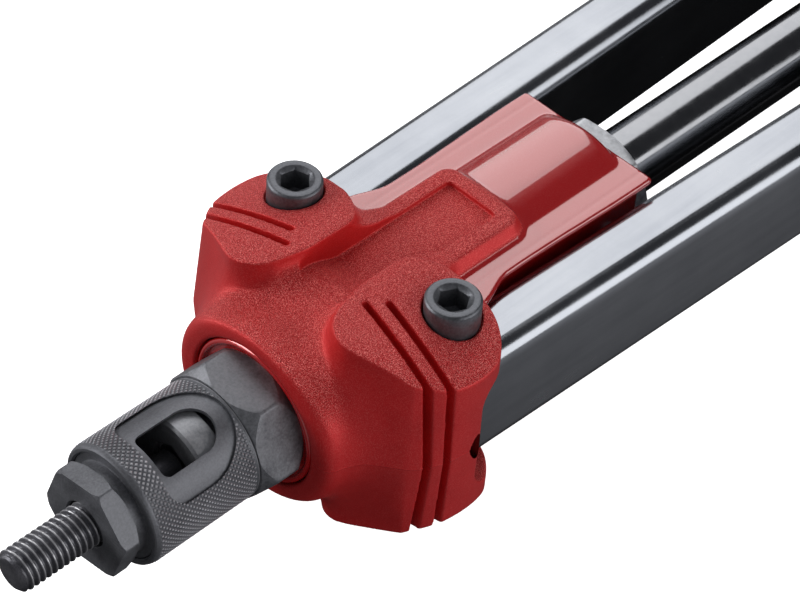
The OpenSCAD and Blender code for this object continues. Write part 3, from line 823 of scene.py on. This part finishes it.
def barrel_piece():
    a = circle(KNURLS * (8))
    rings = [x_ring(BARREL_X0 + dx, r, a)
             for dx, r in ((0.35, 10.3), (0, 10.6), (0, 11.15), (0.18, 11.4), (0.6, 11.58))]
    # the knurling tool bites less over part of the way round
    uneven = 0.85 + 0.15 * np.sin(a * 2 + 0.6)
    for x in np.linspace(BARREL_X0 + 0.8, BARREL_X1 - 0.35, 160):
        fade = (smooth_ramp(x, BARREL_X0 + 0.7, BARREL_X0 + 1.3)
                * (1 - smooth_ramp(x, BARREL_X1 - 1.0, BARREL_X1 - 0.3)))
        r = BARREL_R - 0.2 + 0.18 * fade - 0.38 * fade * uneven * knurl(x, a)
        rings.append(x_ring(x, r, a))
    rings += [x_ring(x, r, a) for x, r in (
        (BARREL_X1 - 0.1, 11.7), (BARREL_X1, 11.55), (BARREL_X1, THREAD_R),
        (THREAD_X1 - 0.3, THREAD_R), (THREAD_X1, THREAD_R - 0.3), (THREAD_X1, BARREL_BORE_R),
        (FRONT_BORE_X, BARREL_BORE_R), (FRONT_BORE_X, FRONT_BORE_R))]
    barrel = new_mesh("barrel_knurled", *ring_solid(rings))
    # the recess keeps a round floor, so a core is taken out of its cutter first
    recess = prism("recess_cut", window_points(RECESS_X0, RECESS_X1, RECESS_W, RECESS_CORNER),
                   1.0, 16.0)
    core = [x_ring(x, r, a[::2])
            for x, r in ((-60.0, 0.05), (-60.0, RECESS_R), (-30.0, RECESS_R), (-30.0, 0.05))]
    cut(recess, new_mesh("core_cut", *ring_solid(core)))
    cut(barrel, recess)
    cut(barrel, prism("slot_cut", window_points(SLOT_X0, SLOT_X1, SLOT_W, SLOT_CORNER),
                      0.5, 16.0))
    dress(barrel, "barrel", "knurled_steel", ("nose_barrel",), 22)


barrel_piece()

# ---------------------------------------------------------------- mandrel with its M8 thread

M8_R, M8_PITCH, M8_ROOT = 4.0, 1.25, 3.28
TIP_X, THREAD_END_X, SHANK_R, SHANK_X1 = -80.4, -57.5, 3.2, -45.6
DRIVE_X0, DRIVE_X1, DRIVE_AF, DRIVE_TURN = -44.8, -33.8, 9.0, 30


def thread_radius(x, a):
    """Radius of the mandrel's V thread at x and angle a."""
    u = (x / M8_PITCH - a / (2 * math.pi)) % 1.0
    d = np.abs(u - 0.5) * 2  # 0 at the crest
    depth = np.clip((d - 0.14) / 0.66, 0, 1)
    depth = depth * depth * (3 - 2 * depth) * 0.35 + depth * 0.65
    return M8_R - (M8_R - M8_ROOT) * depth


def mandrel_pieces():
    a = circle(112)
    rings = [x_ring(TIP_X, AXIS_R, a), x_ring(TIP_X, 1.5, a), x_ring(TIP_X, 2.85, a)]
    for x in np.arange(TIP_X + 0.06, THREAD_END_X, 0.09):
        cone = 2.95 + (x - TIP_X) * 1.15
        rings.append(x_ring(x, np.minimum(thread_radius(x, a), cone), a))
    rings += [x_ring(THREAD_END_X + 0.2, SHANK_R, a), x_ring(SHANK_X1, SHANK_R, a),
              x_ring(SHANK_X1, AXIS_R, a)]
    piece("mandrel_thread_piece", ring_solid(rings), "spindle", "dark_steel", ("mandrel",), 40)
    a = hex_angles(DRIVE_TURN)
    r = hex_radius(a, DRIVE_TURN, DRIVE_AF)
    rings = [x_ring(x, radius, a) for x, radius in (
        (DRIVE_X0, AXIS_R), (DRIVE_X0, r - 0.3), (DRIVE_X0 + 0.3, r), (DRIVE_X1 - 0.3, r),
        (DRIVE_X1, r - 0.3), (DRIVE_X1, AXIS_R))]
    piece("mandrel_drive_hex", ring_solid(rings), "spindle", "dark_steel", (), 30)


mandrel_pieces()

# ---------------------------------------------------------------- hexagons

NOSE_TURN, NUT_TURN, PLUG_TURN = 49.4, 7.7, 10.0  # where a corner of each hexagon points


def nosepiece_piece():
    a = hex_angles(NOSE_TURN)
    rings = chamfered_hex(18.0, -64.8, -60.8, NOSE_TURN, 9.75, 0.45, 9.25, 0.95, 4.4, 1.8, 0.10)
    # behind the hexagon: a neck, and the shank that goes into the barrel
    rings[-1:] = [x_ring(x, r, a) for x, r in (
        (-60.8, 8.8), (-60.65, 8.6), (-58.7, 8.6), (-58.6, 8.8), (-58.6, 10.1), (-58.5, 10.25),
        (-54.0, 10.25), (-53.8, 10.0), (-53.8, 4.4))]
    piece("nosepiece_hex", ring_solid(rings), "barrel", "phosphated_steel", ("nosepiece",), 24)


def lock_nut_piece():
    rings = chamfered_hex(24.0, -36.2, -26.5, NUT_TURN, 12.1, 2.8, 12.1, 2.8, 9.05, 1.6, 0.16)
    piece("lock_nut_hex", ring_solid(rings), "jam_nut", "mottled_steel", ("lock_nut",), 24)


def plug_piece():
    a = hex_angles(PLUG_TURN)
    rings = chamfered_hex(24.0, 56.05, 62.2, PLUG_TURN, 12.6, 0.5, 11.6, 1.5, 8.6, 1.6, 0.16)
    # before the hexagon: the shank that goes into the sleeve
    rings[:2] = [x_ring(x, r, a) for x, r in (
        (44.0, 8.6), (44.0, 10.1), (44.4, 10.5), (56.0, 10.5), (56.05, 10.8))]
    piece("rear_plug_hex", ring_solid(rings), "head", "zinc_plate", ("rear_plug",), 24)


nosepiece_piece()
lock_nut_piece()
plug_piece()

# ---------------------------------------------------------------- pivot screws


SOCKET_AF, SCREW_TOP, SCREW_TIP = 5.0, 24.56, -22.0


def pivot_screw(side):
    """Socket cap screw in the left (1) or right (-1) lobe, from the socket's floor to its tip."""
    corner = -13.0 if side > 0 else -27.0
    a = hex_angles(corner)
    socket = hex_radius(a, corner, SOCKET_AF, 1.2, 0.04)

    def ring(r, z):
        r = np.broadcast_to(np.asarray(r, float), a.shape)
        return np.stack([r * np.cos(a), PIVOT_Y * side + r * np.sin(a), np.full_like(a, z)], 1)
    rings = [ring(r, z) for r, z in (
        (AXIS_R, 18.9), (1.2, 19.0), (socket - 0.25, 19.5), (socket, 19.8), (socket, 23.3),
        (socket, 23.9), ((socket + 3.2) / 2, 24.2), (3.3, 24.44), (3.42, 24.52),
        (3.6, SCREW_TOP), (4.2, SCREW_TOP), (4.55, 24.55), (4.68, 24.5), (4.93, 24.2),
        (5.0, 24.05), (5.0, 22.0), (5.0, 18.7), (4.9, SCREW_SEAT_Z), (3.0, SCREW_SEAT_Z),
        (3.0, SCREW_TIP + 0.4), (2.6, SCREW_TIP), (AXIS_R, SCREW_TIP))]
    v, f = ring_solid(rings, close=False)
    who = "left" if side > 0 else "right"
    piece(f"{who}_socket_screw", (v, f[:, ::-1]), "head", "black_oxide",
          (f"{who}_pivot_screw",), 35)


for side in (1, -1):
    pivot_screw(side)

# ---------------------------------------------------------------- knob on the turning rod

KNOB_X0, KNOB_X1 = 204.0 - PIVOT_X, 234.0 - PIVOT_X
FLUTES, FLUTE_DEPTH = 8, 1.7


def knob_piece():
    a = circle(240)
    dip = np.clip(np.cos(FLUTES * a) - 0.25, 0, 1) ** 1.3 * FLUTE_DEPTH
    # (distance, radius, share of the flutes' depth), from the front and from the rear
    front = ((0, 7.0, 0), (0, 9.4, 0), (0.5, 9.95, 0), (1.6, 11.1, 0.05), (3.2, 12.7, 0.3),
             (4.6, 13.8, 0.65), (5.6, 14.3, 0.85), (6.8, 14.45, 1), (10, 14.5, 1), (16, 14.5, 1),
             (22, 14.5, 1))
    rear = ((4.5, 14.45, 1), (3.0, 14.2, 0.9), (1.6, 13.5, 0.6), (0.6, 12.4, 0.3),
            (0.1, 11.2, 0.1), (0, 10.2, 0), (0.3, 9.0, 0), (0.8, 8.2, 0), (1.0, 4.0, 0),
            (1.0, AXIS_R, 0))
    rings = [x_ring(KNOB_X0 + x, r - dip * share, a) for x, r, share in front]
    rings += [x_ring(KNOB_X1 - x, r - dip * share, a) for x, r, share in rear]
    piece("knob_fluted", ring_solid(rings, close=False), "spindle", "black_plastic",
          ("spin_knob",), 50)


knob_piece()

# ---------------------------------------------------------------- grips and end caps

SPLAY = math.radians(2.2)  # the closed handles open rearwards by this much each
HANDLE_OFFSET = 0.7  # the tube's middle stands this far outside its pivot
TUBE_HALF_Y, TUBE_HALF_Z, TUBE_CORNER = 6.15, 12.5, 3.6
GRIP_X0, GRIP_X1 = 180.0, 296.0
GRIP_RING_PITCH = 4.6


def along_handle(points, side):
    """Points drawn along +X from the left pivot, moved to one of the handles."""
    x, y, z = np.asarray(points, float).T
    y = y + HANDLE_OFFSET
    c, s = math.cos(SPLAY), math.sin(SPLAY)
    return np.stack([x * c - y * s, side * (x * s + y * c + PIVOT_Y), z], 1)


def rounded_loop(x, half_y, half_z, r):
    """Rounded rectangle at x, with corner radius r and two points on each straight."""
    pts = []
    corner_points, straights = 16, 3
    for cy, cz, start in ((1, 1, 0), (-1, 1, 90), (-1, -1, 180), (1, -1, 270)):
        for k in range(corner_points):
            t = math.radians(start + 90 * (k + 0.5) / corner_points)
            pts.append((x, cy * (half_y - r) + r * math.cos(t),
                        cz * (half_z - r) + r * math.sin(t)))
        for share in (1 - 2 * k / straights for k in range(1, straights)):
            if cy * cz > 0:
                pts.append((x, cy * (half_y - r) * share, cz * half_z))
            else:
                pts.append((x, cy * half_y, cz * (half_z - r) * share))
    return np.array(pts)


def grip_piece(side):
    """Rubber grip with its closed end, which is the tube's end cap."""
    # (distance, how far the surface stands outside the tube), first the collar at the front
    profile = [(GRIP_X0 + x, out) for x, out in (
        (0.2, 0.25), (0, 0.5), (0, 3.6), (0.3, 4.4), (1.2, 4.78), (3.6, 4.78), (5.2, 4.5),
        (6.6, 3.5), (8.6, 2.9))]
    # shallow rings between two plain ends, on a grip that swells a little in the middle
    x = GRIP_X0 + 12.0
    while x < GRIP_X1 - 16:
        swell = 0.35 * math.sin(math.pi * (x - GRIP_X0) / (GRIP_X1 - GRIP_X0))
        profile += [(x + dx, out + swell) for dx, out in (
            (0, 2.95), (0.5, 2.6), (0.9, 2.35), (1.5, 2.35), (1.9, 2.6), (2.4, 2.95),
            (3.5, 3.05))]
        x += GRIP_RING_PITCH
    profile += [(GRIP_X1 - x, out) for x, out in (
        (10, 3.1), (4, 3.1), (2.0, 2.7), (0.9, 1.9), (0.2, 0.7), (0, -0.6), (0, -5.5))]
    loops = [rounded_loop(x, TUBE_HALF_Y + out, TUBE_HALF_Z + out, max(TUBE_CORNER + out, 0.5))
             for x, out in profile]
    v, f = ring_solid([along_handle(loop, side) for loop in loops], close=False)
    # close the rear end with a fan round its middle
    n = len(loops[0])
    base, centre = len(v) - n, len(v)
    v = np.concatenate([v, [v[-n:].mean(0)]])
    faces = [tuple(q) for q in f] + [(base + k, base + (k + 1) % n, centre) for k in range(n)]
    if side < 0:
        faces = [q[::-1] for q in faces]
    who = "left" if side > 0 else "right"
    piece(f"{who}_grip_ribbed", (v, faces), f"{who}_handle", "grip_rubber",
          (f"{who}_grip", f"{who}_end_cap"), 50)


for side in (1, -1):
    grip_piece(side)

# ---------------------------------------------------------------- floor, light, camera

STAGE_SIZE, STAGE_X = 12, 0.1  # metres
lowest = cad_box[0][2]


def stage_plane(name, z, **finish):
    """A large flat plane at height z that isn't part of the object; returns it and its Maker."""
    m = Maker(name)
    m.set(Roughness=1.0, Specular_IOR_Level=0.0, Emission_Strength=1.0, **finish)
    half = STAGE_SIZE / 2
    me = bpy.data.meshes.new(name)
    me.from_pydata([(-half, -half, 0), (half, -half, 0), (half, half, 0), (-half, half, 0)], [],
                   [(0, 1, 2, 3)])
    me.materials.append(m.mat)
    ob = new_object(name, me)
    ob.location = (STAGE_X, 0, z)
    return ob, m


floor, _ = stage_plane("floor", lowest - 0.0002, Base_Color=(0.9, 0.9, 0.9, 1),
                       Emission_Color=(1, 1, 1, 1))
floor.visible_glossy = False
floor.visible_diffuse = False

# what polished faces see below them: a card that glows in reflections only, with a painted contact
# shadow under the tool and painted floor light away from it
CARD_REACH = 0.12
# glow levels of the card: the darkest, under the tool, is the painted shadow
CARD_LEVELS = ((0.026, 0.008), (0.036, 0.12), (0.052, 0.17), (0.100, 0.28))  # (distance, level)
card, glow = stage_plane("reflection_card", lowest - 0.0001, Base_Color=(0, 0, 0, 1))
away = glow.range(glow.math("ABSOLUTE", glow.axis("Y"), 0.0), 0.0, CARD_REACH, 0.0, 1.0)
glow.to("Emission Color", glow.ramp(away, [(distance / CARD_REACH, (level, level, level * 1.04))
                                           for distance, level in CARD_LEVELS]))
card.visible_camera = False
card.visible_diffuse = False
card.visible_shadow = False
card.visible_transmission = False

LIT_POINT = Vector((0.075, 0.0, 0.0))


def area_light(name, direction, distance, size_x, size_y, power):
    light = bpy.data.lights.new(name, "AREA")
    light.shape = "RECTANGLE"
    light.size, light.size_y = size_x, size_y
    light.energy = power
    ob = new_object(name, light)
    d = Vector(direction).normalized()
    facing = d.to_track_quat("Z", "Y").to_matrix().to_4x4()
    ob.matrix_world = Matrix.Translation(LIT_POINT + d * distance) @ facing
    ob.visible_camera = False


# the camera stands in front of the tool, to its right and above it; ROLL tilts the picture
AZ, EL, ROLL = math.radians(41.7322), math.radians(45.4936), math.radians(4.8912)
CAMERA_DISTANCE, LOOK_X, LOOK_Y = 486.761, 10.8403, 2.2504  # mm, from the pivots' middle
SENSOR, FOCAL = 36.0, 2706.356 / 800  # sensor width in mm, focal length in picture widths
back = Vector((-math.cos(AZ) * math.cos(EL), -math.sin(AZ) * math.cos(EL), math.sin(EL)))
target = Vector(((LOOK_X + PIVOT_X) * MM, LOOK_Y * MM, 0))
level_right = (-back).cross(Vector((0, 0, 1))).normalized()
level_up = level_right.cross(-back)
right = level_right * math.cos(ROLL) + level_up * math.sin(ROLL)
up = level_up * math.cos(ROLL) - level_right * math.sin(ROLL)
camera = new_object("camera", bpy.data.cameras.new("camera"))
turn = Matrix((right, up, back)).transposed().to_4x4()
camera.matrix_world = Matrix.Translation(target + back * CAMERA_DISTANCE * MM) @ turn
camera.data.sensor_width = SENSOR
camera.data.lens = FOCAL * SENSOR
camera.data.clip_start = 0.01
camera.data.clip_end = 50
bpy.context.scene.camera = camera

area_light("softbox_back", (0.55, 0.50, 0.67), 1.1, 0.75, 1.3, 5.5)
area_light("side_right", (0.35, -0.90, 0.24), 1.3, 1.3, 0.95, 8.0)
area_light("side_left", (-0.55, 0.78, 0.35), 1.3, 0.9, 0.7, 10.5)

world = bpy.data.worlds.new("studio")
bpy.context.scene.world = world
bpy.context.scene.view_settings.view_transform = "Standard"
world.use_nodes = True
# reflections see a darker room than the one that lights the object
links, made = world.node_tree.links, world.node_tree.nodes
room = made.new("ShaderNodeMix")
room.data_type = "RGBA"
room.inputs[6].default_value = (0.31, 0.31, 0.32, 1)
room.inputs[7].default_value = (0.05, 0.051, 0.055, 1)
links.new(made.new("ShaderNodeLightPath").outputs["Is Glossy Ray"], room.inputs[0])
links.new(room.outputs[2], made["Background"].inputs["Color"])
